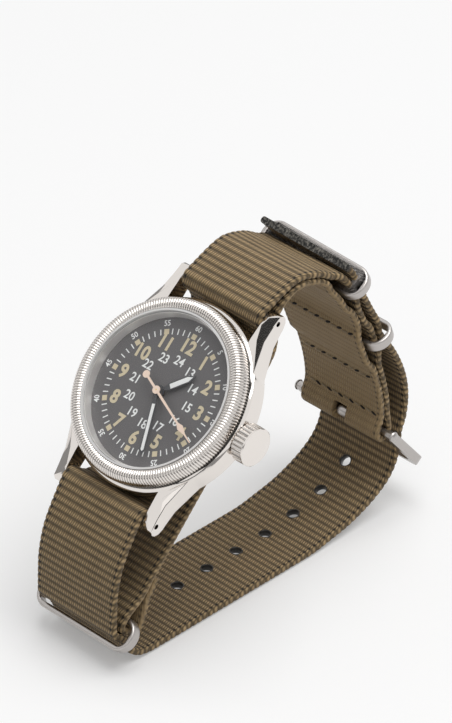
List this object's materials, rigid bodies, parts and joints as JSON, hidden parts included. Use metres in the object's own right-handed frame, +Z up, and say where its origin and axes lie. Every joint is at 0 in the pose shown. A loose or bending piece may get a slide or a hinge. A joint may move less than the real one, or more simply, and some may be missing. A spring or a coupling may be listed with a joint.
{
  "type": "pilot watch",
  "caption": "Pilot watch with a fluted bezel and dark grey 24 hour dial, resting on its buckled two-piece woven strap; hands, crown, spring bars, keepers and buckle move.",
  "frame": {"origin": "on the ground, on the flat underside of the strap, at the middle of the strap's width", "axes": "X from 9 to 3 o'clock with the crown towards +X, Y along the strap on the ground from the 6 o'clock end to the buckle, Z up"},
  "size_m": [0.0368, 0.0739, 0.0583],
  "materials": {
    "case_steel": "polished steel",
    "back_steel": "brushed steel",
    "band_steel": "polished steel",
    "crystal_glass": "clear, domed",
    "seal_rubber": "matt",
    "dial_paint": "matt dark grey",
    "cream_lume": "matt luminous paint",
    "white_lume": "matt luminous paint",
    "hand_paint": "satin",
    "second_paint": "satin peach",
    "gear_brass": "satin",
    "plate_brass": "satin",
    "bridge_steel": "satin",
    "holder_plastic": "satin",
    "board_green": "satin",
    "coil_copper": "lacquered wire",
    "magnet_grey": "matt",
    "screw_steel": "blued",
    "strap_fabric": "ribbed webbing"
  },
  "bodies": {
    "watch": {"mid_case": "case_steel", "bezel": "case_steel", "crystal": "crystal_glass", "crystal_seal": "seal_rubber", "rehaut_ring": "back_steel", "case_back": "back_steel", "case_back_gasket": "seal_rubber", "crown_tube": "back_steel", "movement_ring": "holder_plastic", "dial_plate": "dial_paint", "hour_plots": "cream_lume", "main_plate": "plate_brass", "wheel_bridge": "bridge_steel", "circuit_board": "board_green", "drive_coil": "coil_copper", "stator": "bridge_steel", "battery_cell": "bridge_steel", "battery_clamp": "bridge_steel", "movement_screws": "screw_steel", "spring_bar_upper": "back_steel", "spring_bar_lower": "back_steel", "bar_springs": "back_steel", "strap_long": "strap_fabric", "strap_short": "strap_fabric"},
    "seconds": {"seconds_wheel": "gear_brass", "second_hand": "second_paint"},
    "minutes": {"centre_wheel": "gear_brass", "minute_hand": "hand_paint", "minute_hand_lume": "white_lume"},
    "hours": {"hour_wheel": "gear_brass", "hour_hand": "hand_paint", "hour_hand_lume": "white_lume"},
    "third_gear": {"third_wheel": "gear_brass"},
    "fifth_gear": {"fifth_wheel": "gear_brass"},
    "motor_rotor": {"rotor": "magnet_grey"},
    "minute_gear": {"minute_wheel": "gear_brass"},
    "keyless_pinion": {"sliding_pinion": "bridge_steel"},
    "crown_and_stem": {"crown": "case_steel", "winding_stem": "back_steel", "crown_gasket": "seal_rubber"},
    "pin_upper_left": {"bar_pin_upper_left": "back_steel"},
    "pin_upper_right": {"bar_pin_upper_right": "back_steel"},
    "pin_lower_left": {"bar_pin_lower_left": "back_steel"},
    "pin_lower_right": {"bar_pin_lower_right": "back_steel"},
    "upper_keeper": {"keeper_upper": "band_steel"},
    "middle_keeper": {"keeper_middle": "band_steel"},
    "lower_keeper": {"keeper_lower": "band_steel"},
    "buckle": {"buckle_frame": "band_steel", "buckle_pivot": "band_steel"},
    "tongue": {"buckle_tongue": "band_steel"}
  },
  "joints": [
    {"name": "seconds_spin", "type": "hinge", "parent": "watch", "child": "seconds", "pos_m": [0, -0.005, 0.0422], "axis": [0, -0.6909, 0.723], "continuous": true},
    {"name": "minutes_spin", "type": "hinge", "parent": "watch", "child": "minutes", "pos_m": [0, -0.005, 0.0422], "axis": [0, -0.6909, 0.723], "continuous": true},
    {"name": "hours_spin", "type": "hinge", "parent": "watch", "child": "hours", "pos_m": [0, -0.005, 0.0422], "axis": [0, -0.6909, 0.723], "continuous": true},
    {"name": "third_spin", "type": "hinge", "parent": "watch", "child": "third_gear", "pos_m": [0.0017, -0.00287, 0.04423], "axis": [0, -0.6909, 0.723], "continuous": true},
    {"name": "fifth_spin", "type": "hinge", "parent": "watch", "child": "fifth_gear", "pos_m": [-0.00201, -0.00707, 0.04022], "axis": [0, -0.6909, 0.723], "continuous": true},
    {"name": "rotor_spin", "type": "hinge", "parent": "watch", "child": "motor_rotor", "pos_m": [-0.00287, -0.00878, 0.03858], "axis": [0, -0.6909, 0.723], "continuous": true},
    {"name": "minute_gear_spin", "type": "hinge", "parent": "watch", "child": "minute_gear", "pos_m": [0.00208, -0.00413, 0.04303], "axis": [0, -0.6909, 0.723], "continuous": true},
    {"name": "crown_turn", "type": "hinge", "parent": "watch", "child": "keyless_pinion", "pos_m": [0, -0.003, 0.0401], "axis": [1, 0, 0], "continuous": true},
    {"name": "crown_pull", "type": "slide", "parent": "keyless_pinion", "child": "crown_and_stem", "axis": [1, 0, 0], "range_m": [0, 0.0009]},
    {"name": "pin_upper_left_slide", "type": "slide", "parent": "watch", "child": "pin_upper_left", "axis": [1, 0, 0], "range_m": [0, 0.0009], "stiffness_N_per_m": 300, "springref_m": -0.0015},
    {"name": "pin_upper_right_slide", "type": "slide", "parent": "watch", "child": "pin_upper_right", "axis": [-1, 0, 0], "range_m": [0, 0.0009], "stiffness_N_per_m": 300, "springref_m": -0.0015},
    {"name": "pin_lower_left_slide", "type": "slide", "parent": "watch", "child": "pin_lower_left", "axis": [1, 0, 0], "range_m": [0, 0.0009], "stiffness_N_per_m": 300, "springref_m": -0.0015},
    {"name": "pin_lower_right_slide", "type": "slide", "parent": "watch", "child": "pin_lower_right", "axis": [-1, 0, 0], "range_m": [0, 0.0009], "stiffness_N_per_m": 300, "springref_m": -0.0015},
    {"name": "upper_keeper_tilt", "type": "hinge", "parent": "watch", "child": "upper_keeper", "pos_m": [0, 0.0289, 0.0501], "axis": [1, 0, 0], "range_deg": [-6, 6]},
    {"name": "middle_keeper_tilt", "type": "hinge", "parent": "watch", "child": "middle_keeper", "pos_m": [0, 0.0352, 0.0366], "axis": [1, 0, 0], "range_deg": [-6, 6]},
    {"name": "lower_keeper_tilt", "type": "hinge", "parent": "watch", "child": "lower_keeper", "pos_m": [0, -0.0198, 0.0079], "axis": [1, 0, 0], "range_deg": [-5, 5]},
    {"name": "buckle_swing", "type": "hinge", "parent": "watch", "child": "buckle", "pos_m": [0, 0.0396, 0.0171], "axis": [1, 0, 0], "range_deg": [-8, 0]},
    {"name": "tongue_swing", "type": "hinge", "parent": "watch", "child": "tongue", "pos_m": [0, 0.0396, 0.0171], "axis": [1, 0, 0], "range_deg": [0, 3]}
  ],
  "couplings": [
    {"joint": "minutes_spin", "follows": "seconds_spin", "ratio": 0.016667},
    {"joint": "hours_spin", "follows": "seconds_spin", "ratio": 0.0013889},
    {"joint": "third_spin", "follows": "seconds_spin", "ratio": -0.13333},
    {"joint": "fifth_spin", "follows": "seconds_spin", "ratio": -6},
    {"joint": "rotor_spin", "follows": "seconds_spin", "ratio": 30},
    {"joint": "minute_gear_spin", "follows": "seconds_spin", "ratio": -0.0055556}
  ]
}
